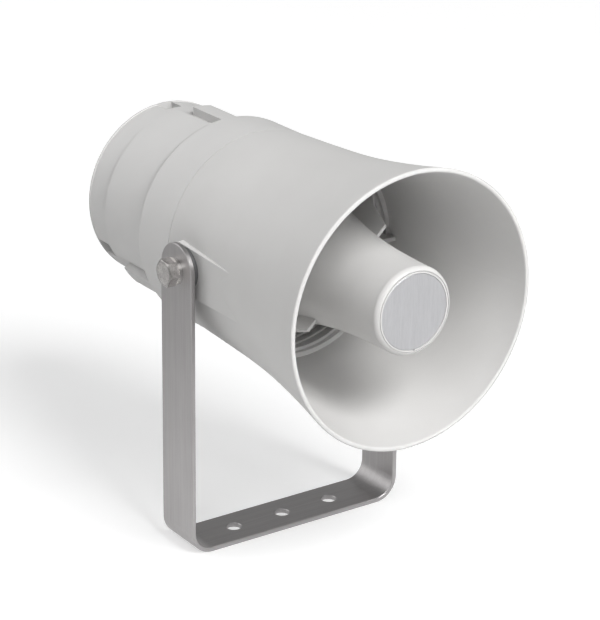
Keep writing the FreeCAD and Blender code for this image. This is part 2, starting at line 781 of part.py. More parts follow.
def make_driver_screws():
    angles = [45 + 360 / driver_screw_count * k for k in range(driver_screw_count)]
    seat_y = driver_flange_front_y + driver_flange_thickness
    length = driver_flange_thickness + driver_flange_front_y - wall_back_y + 1
    return group([screw(m4_radius, length, m4_head_radius, m4_head_height, spot, Y * -1)
                  for spot in ring_spots(driver_screw_circle, angles, seat_y)])


def cover_section(y0, y1, outer, inner, column):
    """Ring with the screw columns, between two places along the axis."""
    ring = tube(outer, inner, y0, y1)
    inside = rod(inner + 1, y1 - y0, Vector(0, y0, 0), Y)
    posts = [post.common(inside) for post in columns(column, y0, y1, cover_screw_angles, cover_screw_circle)]
    return joined([ring] + posts)


def make_cover_seal():
    """Flat gasket with the outline of the joint face."""
    seal = cover_section(tail_end_y, cover_front_y, cover_radius - cover_seal_setback, tail_inner_radius, column_radius)
    for hole in columns(m4_radius + screw_hole_gap, tail_end_y - 1, cover_front_y + 1,
                        cover_screw_angles, cover_screw_circle):
        seal = seal.cut(hole)
    return seal


def make_cover():
    """Cup with a rim bead, four screw notches and two cable entries."""
    rim = cover_radius + cover_rim_height
    cup = turned(at(cover_inner_radius, cover_front_y), at(cover_radius, cover_front_y),
                 at(cover_radius, cover_end_y - cover_rim_width - cover_rim_height),
                 at(rim, cover_end_y - cover_rim_width), at(rim, cover_end_y - cover_edge_round),
                 at(rim - cover_edge_round, cover_end_y), at(0, cover_end_y), at(0, cover_floor_y),
                 at(cover_inner_radius, cover_floor_y))
    inside = rod(cover_inner_radius + 1, cover_end_y - cover_front_y, Vector(0, cover_front_y, 0), Y)
    posts = columns(cover_column_radius, cover_front_y, cover_floor_y + 1, cover_screw_angles, cover_screw_circle)
    extras = [post.common(inside) for post in posts]
    extras += [rod(strap_post_radius, strap_post_height + 1, Vector(x, cover_floor_y - strap_post_height, z), Y)
               for x, z in strap_screw_places()]
    body = joined([cup] + extras)
    seat_y = cover_end_y - notch_length
    for angle in cover_screw_angles:
        slot = box(cover_screw_circle, cover_radius + 5, seat_y, cover_end_y - notch_rear_wall,
                   -notch_width / 2, notch_width / 2)
        seat = Vector(cover_screw_circle, seat_y, 0)
        slot = slot.fuse(rod(notch_width / 2, notch_length - notch_rear_wall, seat, Y))
        slot = slot.fuse(rod(m4_head_radius + screw_well_gap, notch_length + 1, seat, Y))
        hole = rod(m4_radius + screw_hole_gap, cover_end_y, Vector(cover_screw_circle, cover_front_y - 1, 0), Y)
        body = body.cut(spun(slot, angle)).cut(spun(hole, angle))
    for x in (-entry_x, entry_x):
        body = body.cut(rod(entry_radius + entry_hole_gap, 3 * cover_wall,
                            Vector(x, cover_floor_y - cover_wall, -entry_drop), Y))
    for x, z in strap_screw_places():
        body = body.cut(rod(m3_radius + bolt_running_gap, strap_screw_length,
                            Vector(x, cover_floor_y - strap_post_height - 1, z), Y))
    return body


def make_cover_screws():
    seat_y = cover_end_y - notch_length
    length = seat_y - tail_end_y + cover_screw_length - 6
    return group([screw(m4_radius, length, m4_head_radius, m4_head_height, spot, Y * -1)
                  for spot in ring_spots(cover_screw_circle, cover_screw_angles, seat_y)])


def entry(x):
    return Vector(x, cover_end_y, -entry_drop)


def make_gland_body():
    """Hexagon collar outside, thread through the cover, neck for the dome nut."""
    spot = entry(entry_x)
    collar = hexagon(gland_flats, gland_collar_length, spot, Y)
    thread = rod(entry_radius, cover_wall + gland_thread_length, spot - Y * (cover_wall + gland_thread_length), Y)
    neck = rod(gland_neck_radius, gland_collar_length + gland_neck_length, spot, Y)
    body = joined([collar, thread, neck])
    reach = cover_wall + gland_thread_length + gland_collar_length + gland_neck_length
    return body.cut(rod(gland_inner_radius, 2 * reach, spot - Y * reach, Y))


def make_gland_seal():
    spot = entry(entry_x) + Y * (gland_nut_gap + gland_collar_length + gland_nut_depth - gland_seal_length)
    ring = rod(gland_inner_radius - screw_hole_gap, gland_seal_length, spot, Y)
    return ring.cut(rod(gland_cable_radius, gland_seal_length + 2, spot - Y, Y))


def make_gland_nut():
    """Domed nut with a hexagon foot."""
    spot = entry(entry_x) + Y * (gland_collar_length + gland_nut_gap)
    grip = hexagon(gland_flats, gland_nut_length * 0.5, spot, Y)
    mouth = gland_cable_radius + 1.2
    local = [Vector(0, 0, 0), Vector(gland_nut_radius - 0.2, 0, 0), Vector(gland_nut_radius - 0.2, 0, gland_nut_length * 0.55),
             Vector(mouth + 2.2, 0, gland_nut_length), Vector(0, 0, gland_nut_length)]
    edges = [Part.makeLine(local[0], local[1]), Part.makeLine(local[1], local[2]),
             Part.Arc(local[2], Vector(gland_nut_radius - 1.3, 0, gland_nut_length * 0.83), local[3]).toShape(),
             Part.makeLine(local[3], local[4]), Part.makeLine(local[4], local[0])]
    dome = Part.Face(Part.Wire(edges)).revolve(Vector(0, 0, 0), Z, 360)
    dome.Placement = FreeCAD.Placement(spot, FreeCAD.Rotation(Z, Y))
    body = joined([grip, dome])
    body = body.cut(rod(gland_neck_radius + screw_hole_gap, gland_nut_depth + 1, spot - Y, Y))
    return body.cut(rod(mouth, 2 * gland_nut_length, spot, Y))


def make_locknut():
    spot = entry(entry_x) - Y * (cover_wall + locknut_length)
    nut = hexagon(locknut_flats, locknut_length, spot, Y)
    return nut.cut(rod(entry_radius + bolt_running_gap, locknut_length + 2, spot - Y, Y))


def make_blanking_plug():
    spot = entry(-entry_x)
    seal = plug_seal_section
    head = rod(plug_head_radius, plug_head_length, spot + Y * seal, Y)
    head = head.makeChamfer(0.8, [e for e in head.Edges if len(e.Vertexes) == 1
                                  and e.CenterOfMass.y > spot.y + seal + 1])
    thread = rod(entry_radius, plug_thread_length + seal, spot - Y * plug_thread_length, Y)
    slot = box(-plug_head_radius - 1, plug_head_radius + 1, 0, 5, -plug_slot_width / 2, plug_slot_width / 2)
    slot.rotate(Vector(0, 0, 0), Y, 25)
    slot.translate(spot + Y * (seal + plug_head_length - plug_slot_depth))
    return joined([head, thread]).cut(slot)


def make_plug_seal():
    spot = entry(-entry_x)
    ring = rod(plug_head_radius - 0.6, plug_seal_section, spot, Y)
    return ring.cut(rod(entry_radius + screw_hole_gap / 2, plug_seal_section + 2, spot - Y, Y))


def make_core():
    """Laminated core with two windows."""
    middle_z = core_low_z + core_height / 2
    core = box(-core_width / 2, core_width / 2, core_front_y, core_front_y + core_depth,
               core_low_z, core_low_z + core_height)
    leg = core_width / 6
    for side in (-1, 1):
        x0, x1 = sorted((side * leg, side * (leg + window_width)))
        core = core.cut(box(x0, x1, core_front_y - 1, core_front_y + core_depth + 1,
                            middle_z - window_height / 2, middle_z + window_height / 2))
    return core


def make_winding():
    """Bobbin and winding round the core's middle leg."""
    middle_z = core_low_z + core_height / 2
    leg = core_width / 6
    out = leg + window_width - winding_gap
    half = window_height / 2 - winding_gap
    body = box(-out, out, core_front_y - winding_overhang, core_front_y + core_depth + winding_overhang,
               middle_z - half, middle_z + half)
    body = body.makeFillet(2.5, [e for e in body.Edges if e.BoundBox.ZLength > 2 * half - 1])
    inner = leg + winding_gap
    return body.cut(box(-inner, inner, core_front_y - winding_gap, core_front_y + core_depth + winding_gap,
                        middle_z - half - 1, middle_z + half + 1))


def strap_feet_y():
    return cover_floor_y - strap_post_height


def strap_screw_places():
    z = core_low_z + core_height - strap_band / 2
    x = core_width / 2 + strap_metal + strap_foot / 2
    return [(-x, z), (x, z)]


def make_transformer_strap():
    """Sheet strap over the core's upper end, with a foot on each side."""
    z1 = core_low_z + core_height
    z0 = z1 - strap_band
    side_x = core_width / 2
    window_top = core_low_z + core_height / 2 + window_height / 2
    z0 = max(z0, window_top - 5)
    feet_y = strap_feet_y()
    front = core_front_y - strap_metal
    parts = [box(side * side_x - (strap_metal if side < 0 else 0), side * side_x + (strap_metal if side > 0 else 0),
                 front, feet_y, z0, z1) for side in (-1, 1)]
    parts.append(box(-side_x - strap_metal, side_x + strap_metal, front, core_front_y,
                     window_top + winding_gap, z1))
    for side in (-1, 1):
        x0, x1 = sorted((side * side_x, side * (side_x + strap_metal + strap_foot)))
        parts.append(box(x0, x1, feet_y - strap_metal, feet_y, z0, z1))
    body = joined(parts)
    for x, z in strap_screw_places():
        body = body.cut(rod(m3_radius + screw_hole_gap, 10, Vector(x, feet_y - 5, z), Y))
    return body


def make_transformer_screws():
    y = strap_feet_y() - strap_metal
    return group([screw(m3_radius, strap_screw_length - 2, m3_head_radius, m3_head_height, Vector(x, y, z), Y)
                  for x, z in strap_screw_places()])


def way_places():
    return [(number - (block_way_count - 1) / 2) * block_way_pitch for number in range(block_way_count)]


def make_terminal_block():
    """Moulded block on the cover's floor, with a wire funnel and a screw well for each way."""
    z1 = block_top_z
    z0 = z1 - block_height
    y0 = cover_floor_y - block_depth
    block = box(-block_width / 2, block_width / 2, y0, cover_floor_y, z0, z1)
    for x in way_places():
        block = block.cut(rod(block_funnel_radius, 6, Vector(x, y0 - 1, (z0 + z1) / 2), Y))
        block = block.cut(rod(terminal_screw_radius + 0.3, 4, Vector(x, y0 + block_depth / 2, z1 - 3), Z))
    return block


def make_terminal_screws():
    y = cover_floor_y - block_depth / 2
    made = []
    for x in way_places():
        head = rod(terminal_screw_radius, 2.4, Vector(x, y, block_top_z - 3), Z)
        slot = box(x - 3, x + 3, y - 0.3, y + 0.3, block_top_z - 1.2, block_top_z + 1)
        made.append(head.cut(slot))
    return group(made)


def lead_route(side):
    """Corner points of one lead, from a terminal way past the magnet to the driver's cap."""
    block_y = cover_floor_y - block_depth
    z = block_top_z - block_height / 2
    x = side * block_way_pitch
    angle = math.radians(lead_angle)
    place = driver_radius + lead_magnet_gap
    out_x = side * place * math.cos(angle)
    out_z = -place * math.sin(angle)
    drop_y = back_plate_y + back_plate_thickness + lead_drop_back
    cap_y = driver_flange_front_y + driver_flange_thickness
    return [Vector(x, block_y + lead_grip, z), Vector(x, block_y - lead_straight, z),
            Vector(out_x, drop_y, out_z), Vector(out_x, cap_y, out_z)]


def round_tube(points, radius):
    """A tube along straight runs joined by tangent arcs."""
    edges = []
    here = points[0]
    for before, corner, after in zip(points, points[1:], points[2:]):
        way_in = (corner - before).normalize()
        way_out = (after - corner).normalize()
        turn = way_in.getAngle(way_out)
        run = min((corner - before).Length, (after - corner).Length) * 0.45
        bend = run / math.tan(turn / 2)
        start = corner - way_in * run
        end = corner + way_out * run
        inward = (way_out - way_in).normalize()
        middle = corner + inward * (bend / math.cos(turn / 2) - bend)
        edges.append(Part.makeLine(here, start))
        edges.append(Part.Arc(start, middle, end).toShape())
        here = end
    edges.append(Part.makeLine(here, points[-1]))
    path = Part.Wire(edges)
    section = Part.Wire(Part.makeCircle(radius, points[0], points[1] - points[0]))
    return path.makePipeShell([section], True, True)


def make_leads():
    return group(both_sides(lambda side: round_tube(lead_route(side), lead_radius)))


save("u_bracket", make_bracket(), on_horn=False)
save("pivot_bolts", group(both_sides(make_bolt)))
save("spring_washers", group(both_sides(make_spring_washer)))
save("pivot_spacers", group(both_sides(make_spacer)))
save("threaded_inserts", group(both_sides(make_insert)))
save("horn_bell", make_bell())
save("reflector_cone", make_reflector())
save("nose_badge", make_badge())
save("rear_housing", make_housing())
save("housing_seal", make_joint_seal())
save("throat_tube", make_throat_tube())
save("throat_gasket", make_throat_gasket())
save("driver_cap", make_driver_cap())
save("phase_plug", make_phase_plug())
save("diaphragm", make_diaphragm())
save("voice_coil", make_voice_coil())
save("driver_top_plate", make_top_plate())
save("driver_magnet", make_magnet())
save("driver_back_plate", make_back_plate())
save("driver_screws", make_driver_screws())
save("cover_seal", make_cover_seal())
save("rear_cover", make_cover())
save("cover_screws", make_cover_screws())
save("gland_body", make_gland_body())
save("gland_seal", make_gland_seal())
save("gland_nut", make_gland_nut())
save("gland_locknut", make_locknut())
save("blanking_plug", make_blanking_plug())
save("plug_seal", make_plug_seal())
save("transformer_core", make_core())
save("transformer_winding", make_winding())
save("transformer_strap", make_transformer_strap())
save("transformer_screws", make_transformer_screws())
save("terminal_block", make_terminal_block())
save("terminal_screws", make_terminal_screws())
save("internal_leads", make_leads())
print("written")
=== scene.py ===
import bpy
import json
import math
import numpy as np
from mathutils import Matrix, Vector


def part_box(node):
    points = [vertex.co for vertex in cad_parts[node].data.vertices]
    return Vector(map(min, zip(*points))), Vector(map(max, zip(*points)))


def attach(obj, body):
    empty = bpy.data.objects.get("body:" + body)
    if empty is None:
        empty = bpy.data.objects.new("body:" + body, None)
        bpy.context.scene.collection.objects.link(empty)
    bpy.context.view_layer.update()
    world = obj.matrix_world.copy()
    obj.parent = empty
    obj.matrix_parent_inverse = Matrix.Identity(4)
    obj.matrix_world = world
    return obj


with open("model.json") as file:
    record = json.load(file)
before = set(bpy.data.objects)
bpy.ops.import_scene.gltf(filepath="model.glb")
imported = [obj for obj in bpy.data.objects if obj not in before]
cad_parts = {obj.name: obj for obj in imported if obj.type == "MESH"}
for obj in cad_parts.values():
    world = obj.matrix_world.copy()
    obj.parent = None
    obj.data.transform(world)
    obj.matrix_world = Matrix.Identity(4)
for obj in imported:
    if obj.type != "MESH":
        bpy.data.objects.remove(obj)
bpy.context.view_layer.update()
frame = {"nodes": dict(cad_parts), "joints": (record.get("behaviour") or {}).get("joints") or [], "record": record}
nodes = frame["nodes"]
scene = bpy.context.scene
scene.view_settings.view_transform = "Standard"
tiltAxisHeight = frame["joints"][0]["pos_m"][2]
print("frame loaded,", len(nodes), "nodes")


# Camera, at the photograph's angle

cameraView = {
    "azimuth": -34.47,         # degrees, 0 looks along +Y
    "elevation": 19.71,
    "roll": 0.55,
    "distance": 1.4034,        # metres from the middle of the tilt axis
    "sensor": 36,
    "lens": 136.84,
    "shiftX": 0.0253,
    "shiftY": -0.1024,
}


def addCamera(view):
    a, e, r = (math.radians(view[k]) for k in ("azimuth", "elevation", "roll"))
    back = Vector((math.sin(a) * math.cos(e), -math.cos(a) * math.cos(e), math.sin(e)))
    right = Vector((math.cos(a), math.sin(a), 0))
    up = back.cross(right)
    sideAxis = right * math.cos(r) + up * math.sin(r)
    upAxis = up * math.cos(r) - right * math.sin(r)
    data = bpy.data.cameras.new("photoCamera")
    data.sensor_width = view["sensor"]
    data.lens = view["lens"]
    data.shift_x = view["shiftX"]
    data.shift_y = view["shiftY"]
    camera = bpy.data.objects.new("photoCamera", data)
    scene.collection.objects.link(camera)
    turn = Matrix((sideAxis, upAxis, back)).transposed()
    place = Vector((0, 0, tiltAxisHeight)) + back * view["distance"]
    camera.matrix_world = Matrix.Translation(place) @ turn.to_4x4()
    scene.camera = camera


addCamera(cameraView)


# Soft studio light, a pale floor and a white room

studio = {
    "worldLevel": 0.05,
    "worldTint": (0.97, 0.985, 1.0),
    "horizonTone": 0.72,       # what metal sees of the room level with it, where 1 is white
    "overheadTone": 0.34,      # and above it
    "overheadSpan": (0.06, 0.42),   # heights of the ray between which the one turns into the other
    "aim": (0, 0, 0.15),
    "lamps": {
        "highLamp": {"place": (0.1, -1.95, 2.15), "size": 1.3, "power": 72},
        "frontLamp": {"place": (0.9, -2.1, 1), "size": 1.3, "power": 16.5},
        "leftLamp": {"place": (-1.2, -1.05, 1.3), "size": 1.3, "power": 11},
        "backLamp": {"place": (-1.3, 1.3, 1.2), "size": 2.6, "power": 19},
    },
    "floorReach": 8.0,
    "floorTone": 0.68,
    "floorMatt": 0.9,
    "floorGlow": 0.44,         # near the object
    "farFloorGlow": 1.1,
    "glowSpan": (0.2, 4.0),    # metres from the middle over which the camera sees it rise
    "metalSpan": (0.08, 0.5),  # and over which metal sees it fade
}


def addSoftLamp(name, setting):
    data = bpy.data.lights.new(name, "AREA")
    data.shape = "DISK"
    data.size = setting["size"]
    data.energy = setting["power"]
    lamp = bpy.data.objects.new(name, data)
    lamp.location = setting["place"]
    aim = Vector(studio["aim"]) - lamp.location
    lamp.rotation_mode = "QUATERNION"
    lamp.rotation_quaternion = aim.to_track_quat("-Z", "Y")
    scene.collection.objects.link(lamp)


for lampName, setting in studio["lamps"].items():
    addSoftLamp(lampName, setting)


# Small helpers for the material nodes

def setInput(tree, socket, value):
    if isinstance(value, bpy.types.NodeSocket):
        tree.links.new(value, socket)
    else:
        socket.default_value = value


def mathNode(tree, operation, *values):
    node = tree.nodes.new("ShaderNodeMath")
    node.operation = operation
    for socket, value in zip(node.inputs, values):
        setInput(tree, socket, value)
    return node.outputs[0]


def weightedSum(tree, *parts):
    # Each part is a socket and its share
    shares = [mathNode(tree, "MULTIPLY", socket, share) for socket, share in parts]
    total = shares[0]
    for share in shares[1:]:
        total = mathNode(tree, "ADD", total, share)
    return total


def noiseNode(tree, vector, scale, detail=3.0, roughness=0.5):
    node = tree.nodes.new("ShaderNodeTexNoise")
    tree.links.new(vector, node.inputs["Vector"])
    for title, value in (("Scale", scale), ("Detail", detail), ("Roughness", roughness)):
        setInput(tree, node.inputs[title], value)
    return node.outputs["Fac"]


def rangeNode(tree, value, fromLow, fromHigh, toLow=0.0, toHigh=1.0):
    node = tree.nodes.new("ShaderNodeMapRange")
    titles = ("Value", "From Min", "From Max", "To Min", "To Max")
    for title, given in zip(titles, (value, fromLow, fromHigh, toLow, toHigh)):
        setInput(tree, node.inputs[title], given)
    return node.outputs["Result"]


def mixColour(tree, factor, first, second, blend="MIX"):
    node = tree.nodes.new("ShaderNodeMix")
    node.data_type = "RGBA"
    node.blend_type = blend
    for index, value in ((0, factor), (6, first), (7, second)):   # the colour sockets are 6 and 7
        setInput(tree, node.inputs[index], value)
    return node.outputs[2]


def objectPlace(tree):
    return tree.nodes.new("ShaderNodeTexCoord").outputs["Object"]


def splitVector(tree, vector):
    node = tree.nodes.new("ShaderNodeSeparateXYZ")
    tree.links.new(vector, node.inputs[0])
    return node.outputs


def joinVector(tree, x, y, z):
    node = tree.nodes.new("ShaderNodeCombineXYZ")
    for socket, value in zip(node.inputs, (x, y, z)):
        setInput(tree, socket, value)
    return node.outputs[0]


def lightPathMask(tree, *kinds):
    path = tree.nodes.new("ShaderNodeLightPath")
    mask = path.outputs[kinds[0]]
    for kind in kinds[1:]:
        mask = mathNode(tree, "MAXIMUM", mask, path.outputs[kind])
    return mask


# The room is white to the camera. Metal and glass see it grey, and darker overhead.
# Every other ray gets a faint, slightly blue light from it.

def lightWorld():
    world = bpy.data.worlds.new("whiteRoom")
    scene.world = world
    world.use_nodes = True
    tree = world.node_tree
    tree.nodes.clear()
    mask = lightPathMask(tree, "Is Camera Ray", "Is Glossy Ray", "Is Transmission Ray")
    height = splitVector(tree, tree.nodes.new("ShaderNodeTexCoord").outputs["Generated"])[2]
    overhead = rangeNode(
        tree, height, *studio["overheadSpan"], studio["horizonTone"], studio["overheadTone"])
    seen = mathNode(tree, "MAXIMUM", overhead, lightPathMask(tree, "Is Camera Ray"))
    soft = tree.nodes.new("ShaderNodeBackground")
    soft.inputs["Color"].default_value = (*studio["worldTint"], 1)
    soft.inputs["Strength"].default_value = studio["worldLevel"]
    white = tree.nodes.new("ShaderNodeBackground")
    white.inputs["Color"].default_value = (1, 1, 1, 1)
    tree.links.new(seen, white.inputs["Strength"])
    mix = tree.nodes.new("ShaderNodeMixShader")
    out = tree.nodes.new("ShaderNodeOutputWorld")
    tree.links.new(mask, mix.inputs[0])
    tree.links.new(soft.outputs[0], mix.inputs[1])
    tree.links.new(white.outputs[0], mix.inputs[2])
    tree.links.new(mix.outputs[0], out.inputs["Surface"])


lightWorld()


def newMaterial(name):
    material = bpy.data.materials.new(name)
    material.use_nodes = True
    return material, material.node_tree, material.node_tree.nodes["Principled BSDF"]


def addFloor():
    reach, tone, glow = studio["floorReach"], studio["floorTone"], studio["floorGlow"]
    mesh = bpy.data.meshes.new("studioFloor")
    corners = [(-reach, -reach, 0), (reach, -reach, 0), (reach, reach, 0), (-reach, reach, 0)]
    mesh.from_pydata(corners, [], [(0, 1, 2, 3)])
    floor = bpy.data.objects.new("studioFloor", mesh)
    scene.collection.objects.link(floor)
    material, tree, surface = newMaterial("paleFloor")
    surface.inputs["Base Color"].default_value = (tone, tone, tone, 1)
    surface.inputs["Roughness"].default_value = studio["floorMatt"]
    surface.inputs["Specular IOR Level"].default_value = 0.0
    surface.inputs["Emission Color"].default_value = (1, 1, 1, 1)
    length = tree.nodes.new("ShaderNodeVectorMath")
    length.operation = "LENGTH"
    tree.links.new(objectPlace(tree), length.inputs[0])
    far = length.outputs["Value"]
    toCamera = rangeNode(tree, far, *studio["glowSpan"], glow, studio["farFloorGlow"])
    toCamera = mathNode(tree, "MULTIPLY", toCamera, lightPathMask(tree, "Is Camera Ray"))
    toMetal = rangeNode(tree, far, *studio["metalSpan"], glow, 0.0)
    metalRays = lightPathMask(tree, "Is Glossy Ray", "Is Transmission Ray")
    toMetal = mathNode(tree, "MULTIPLY", toMetal, metalRays)
    emission = mathNode(tree, "MAXIMUM", toCamera, toMetal)
    tree.links.new(emission, surface.inputs["Emission Strength"])
    mesh.materials.append(material)


addFloor()
print("camera, lamps and floor made")


# Shared finishes, each a node group that puts out colour, roughness and height

noiseSpan = (0.3, 0.7)         # most of a noise's values lie between these


def newGroup(name, extras):
    # Every finish has a place, two tones and two roughnesses; the extras are a name and a usual value
    group = bpy.data.node_groups.new(name, "ShaderNodeTree")
    inputs = [("Place", "NodeSocketVector"), ("Light Tone", "NodeSocketColor"),
              ("Dark Tone", "NodeSocketColor"), ("Smooth", "NodeSocketFloat"),
              ("Matt", "NodeSocketFloat")]
    outputs = [("Color", "NodeSocketColor"), ("Roughness", "NodeSocketFloat"),
               ("Height", "NodeSocketFloat")]
    for way, rows in (("INPUT", inputs), ("OUTPUT", outputs)):
        for title, kind in rows:
            group.interface.new_socket(name=title, in_out=way, socket_type=kind)
    for title, value in extras:
        socket = group.interface.new_socket(
            name=title, in_out="INPUT", socket_type="NodeSocketFloat")
        socket.default_value = value
    given = group.nodes.new("NodeGroupInput").outputs
    return group, given, group.nodes.new("NodeGroupOutput").inputs


def finishGroup(group, given, out, blend, roughness, height):
    # The blend runs from the dark tone to the light one
    tone = mixColour(group, blend, given["Dark Tone"], given["Light Tone"])
    for title, socket in (("Color", tone), ("Roughness", roughness), ("Height", height)):
        group.links.new(socket, out[title])
    return group


mouldedPattern = {
    "driftScale": 9.0,
    "cloudScale": 46.0,
    "shares": (0.65, 0.35),    # drift and cloud
    "span": (0.36, 0.64),
    "speck": 0.06,             # how far the grain shows in the tone
}


def mouldedSkinGroup():
    # Broad drift and finer cloud blend two tones; a fine spark texture is the height.
    values = mouldedPattern
    group, given, out = newGroup("mouldedSkin", [("Grain Scale", 1400.0)])
    drift = noiseNode(group, given["Place"], values["driftScale"], 2.0)
    cloud = noiseNode(group, given["Place"], values["cloudScale"], 4.0)
    grain = noiseNode(group, given["Place"], given["Grain Scale"], 2.0)
    blend = weightedSum(group, *zip((drift, cloud), values["shares"]))
    blend = rangeNode(group, blend, *values["span"])
    speck = rangeNode(group, grain, *noiseSpan, -values["speck"], values["speck"])
    blend = mathNode(group, "ADD", blend, speck)
    roughness = rangeNode(group, cloud, *noiseSpan, given["Smooth"], given["Matt"])
    return finishGroup(group, given, out, blend, roughness, grain)


brushedPattern = {
    "fineRoughness": 0.65,
    "wideScale": 0.19,         # of the line density
    "cloudScale": 30.0,
    "shares": (0.55, 0.30, 0.15),   # fine lines, wide lines and cloud
    "span": (0.36, 0.64),
}


def brushedSteelGroup():
    # Place runs along the grain in X and across it in Y and Z; noise stretched along X is the lines.
    values = brushedPattern
    group, given, out = newGroup("brushedLines", [("Line Density", 1400.0), ("Line Stretch", 0.012)])
    x, y, z = splitVector(group, given["Place"])
    stretched = joinVector(group, mathNode(group, "MULTIPLY", x, given["Line Stretch"]), y, z)
    wideScale = mathNode(group, "MULTIPLY", given["Line Density"], values["wideScale"])
    fine = noiseNode(group, stretched, given["Line Density"], 3.0, values["fineRoughness"])
    wide = noiseNode(group, stretched, wideScale, 2.0)
    cloud = noiseNode(group, given["Place"], values["cloudScale"], 3.0)
    blend = weightedSum(group, *zip((fine, wide, cloud), values["shares"]))
    blend = rangeNode(group, blend, *values["span"])
    roughness = rangeNode(group, blend, 0.0, 1.0, given["Matt"], given["Smooth"])
    return finishGroup(group, given, out, blend, roughness, fine)


speckledPattern = {
    "lumpRoughness": 0.6,
    "patchScale": 0.2,         # of the lump scale
    "shares": (0.6, 0.4),      # lumps and patches
    "span": (0.34, 0.66),
}


def speckledGroup():
    # Rough parts such as forged heads, ferrite, rubber and cast metal: lumps and broader patches.
    values = speckledPattern
    group, given, out = newGroup("speckledSurface", [("Lump Scale", 700.0)])
    patchScale = mathNode(group, "MULTIPLY", given["Lump Scale"], values["patchScale"])
    lumps = noiseNode(group, given["Place"], given["Lump Scale"], 3.0, values["lumpRoughness"])
    patch = noiseNode(group, given["Place"], patchScale, 3.0)
    blend = weightedSum(group, *zip((lumps, patch), values["shares"]))
    blend = rangeNode(group, blend, *values["span"])
    roughness = rangeNode(group, patch, *noiseSpan, given["Smooth"], given["Matt"])
    return finishGroup(group, given, out, blend, roughness, lumps)


layeredPattern = {
    "crestPower": 0.6,         # below 1 makes broad crests and narrow grooves
    "cloudScale": 160.0,
    "cloudShade": (0.75, 1.0),
}


def layeredGroup():
    # Turns of wire, tape or sheet: a rounded wave along X, its crests light and its grooves dark. The dark grooves
    # are painted shade between the turns.
    values = layeredPattern
    group, given, out = newGroup("layeredTurns", [("Turns Per Metre", 2000.0)])
    x, y, z = splitVector(group, given["Place"])
    turns = mathNode(group, "MULTIPLY", x, given["Turns Per Metre"])
    wave = mathNode(group, "SINE", mathNode(group, "MULTIPLY", turns, math.pi))
    crest = mathNode(group, "POWER", mathNode(group, "ABSOLUTE", wave), values["crestPower"])
    cloud = noiseNode(group, given["Place"], values["cloudScale"], 3.0)
    shade = rangeNode(group, cloud, *noiseSpan, *values["cloudShade"])
    blend = mathNode(group, "MULTIPLY", crest, shade)
    roughness = rangeNode(group, crest, 0.0, 1.0, given["Matt"], given["Smooth"])
    return finishGroup(group, given, out, blend, roughness, crest)


finishGroups = {
    "moulded": mouldedSkinGroup(),
    "brushed": brushedSteelGroup(),
    "speckled": speckledGroup(),
    "layered": layeredGroup(),
}
print("shared finishes made")


# Where a pattern lies on its piece

grainPlaces = {
    "halfStrap": 0.0015,       # half the strap's thickness
    "ringTurn": 0.01,          # metres of grain for each radian round the tilt axis
}


def hornPlace(tree):
    # Object coordinates with the tilt axis at height zero
    x, y, z = splitVector(tree, objectPlace(tree))
    return joinVector(tree, x, y, mathNode(tree, "SUBTRACT", z, tiltAxisHeight))


def axisDistance(tree, y, z):
    squares = [mathNode(tree, "MULTIPLY", value, value) for value in (y, z)]
    return mathNode(tree, "SQRT", mathNode(tree, "ADD", *squares))


def alongStrap(tree):
    # Along the bent strap, across it, and through its thickness; the bend sits at the legs' middle line.
    low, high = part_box("u_bracket")
    legMiddle = (high[0] - low[0]) / 2 - grainPlaces["halfStrap"]
    x, y, z = splitVector(tree, objectPlace(tree))
    side = mathNode(tree, "ABSOLUTE", x)
    along = mathNode(tree, "ADD", side, z)
    outside = mathNode(tree, "SUBTRACT", side, legMiddle)
    through = mathNode(tree, "MAXIMUM", outside, mathNode(tree, "MULTIPLY", z, -1.0))
    return joinVector(tree, along, y, through)


def ringedX(tree):
    # Turned faces about the tilt axis: the rings' radius is across the grain
    x, y, z = splitVector(tree, hornPlace(tree))
    turn = mathNode(tree, "MULTIPLY", mathNode(tree, "ARCTAN2", z, y), grainPlaces["ringTurn"])
    return joinVector(tree, turn, axisDistance(tree, y, z), x)


def alongY(tree):
    x, y, z = splitVector(tree, hornPlace(tree))
    return joinVector(tree, y, x, z)


def alongZ(tree):
    x, y, z = splitVector(tree, hornPlace(tree))
    return joinVector(tree, z, x, y)


# Painted shade: the colour is darkened on the chamfer round each bolt head's face

boltEdge = {
    "radiusSpan": (0.0060, 0.0074),   # metres from the bolt's line over which it sets in
    "depthSpan": (0.0016, 0.0004),    # metres behind the face over which it sets in
    "tone": 0.62,
}


# Painted shade: darkens the colour in a ring on each head's chamfer, standing in for shading the lamps don't give
# there
def boltEdgePaintedShade(tree):
    x, y, z = splitVector(tree, hornPlace(tree))
    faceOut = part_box("pivot_bolts")[1][0]
    back, front = boltEdge["depthSpan"]
    outer = rangeNode(tree, axisDistance(tree, y, z), *boltEdge["radiusSpan"])
    near = rangeNode(tree, mathNode(tree, "ABSOLUTE", x), faceOut - back, faceOut - front)
    chamfer = mathNode(tree, "MULTIPLY", outer, near)
    return rangeNode(tree, chamfer, 0.0, 1.0, 1.0, boltEdge["tone"])
